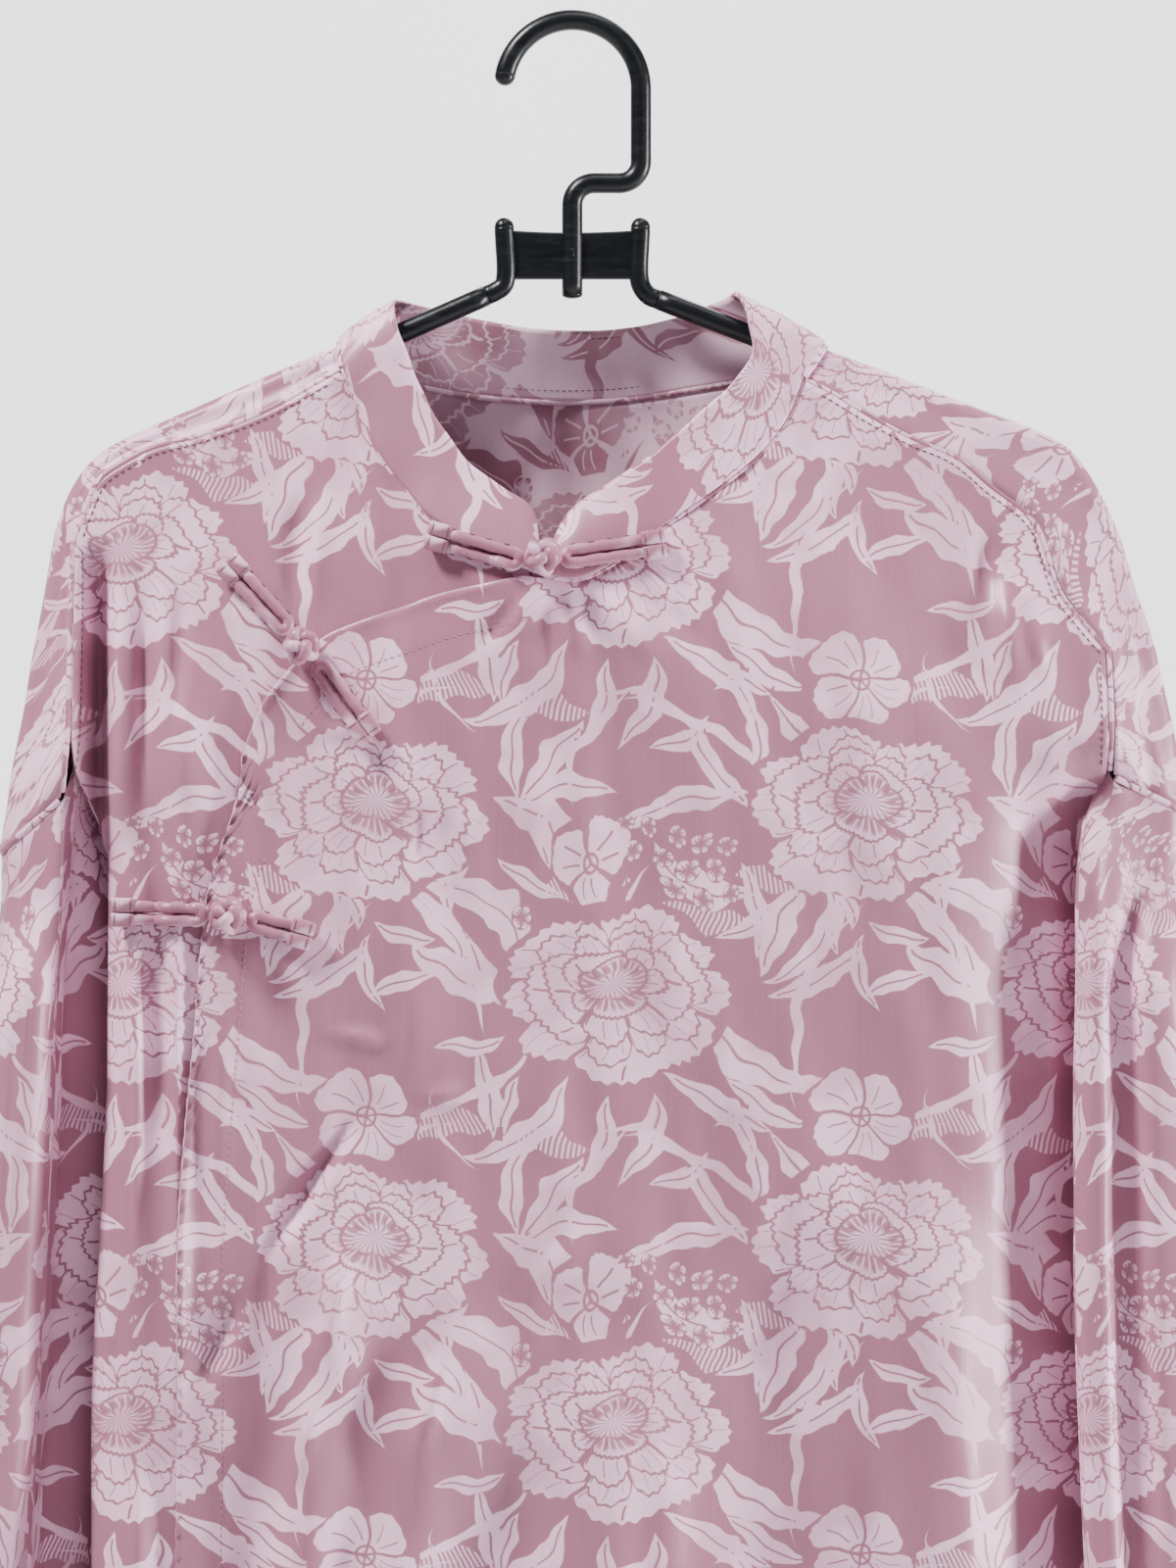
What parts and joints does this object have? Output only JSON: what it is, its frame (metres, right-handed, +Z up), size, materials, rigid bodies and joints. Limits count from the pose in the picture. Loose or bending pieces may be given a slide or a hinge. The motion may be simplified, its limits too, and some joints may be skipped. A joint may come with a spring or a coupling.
{
  "type": "chinese blouse on a hanger",
  "caption": "Long-sleeved patterned satin blouse with a band collar, a curved side-closing front and knotted fabric closures, hanging on a plain plastic hanger.",
  "frame": {"origin": "inner crown of the hanger's hook, where a rail or wall hook holds it", "axes": "+Z up along the hanging garment, +X to the right as the front is seen, -Y out of the front"},
  "size_m": [0.5328, 0.087, 0.7986],
  "materials": {
    "jacquard": "rose satin ground with a matt pale pink woven flower pattern",
    "closure_cloth": "rose satin tubes and knots",
    "hanger_plastic": "moulded black plastic, satin gloss"
  },
  "bodies": {
    "root": {"front_outer": "jacquard", "front_under": "jacquard", "back": "jacquard", "collar": "jacquard", "sleeve_left": "jacquard", "sleeve_right": "jacquard", "neck_knot": "closure_cloth", "neck_knot_strap": "closure_cloth", "neck_loop_strap": "closure_cloth", "chest_knot": "closure_cloth", "chest_knot_strap": "closure_cloth", "chest_loop_strap": "closure_cloth", "side_knot": "closure_cloth", "side_knot_strap": "closure_cloth", "side_loop_strap": "closure_cloth", "hanger_head": "hanger_plastic", "hanger_arm_left": "hanger_plastic", "hanger_arm_right": "hanger_plastic"}
  },
  "joints": []
}
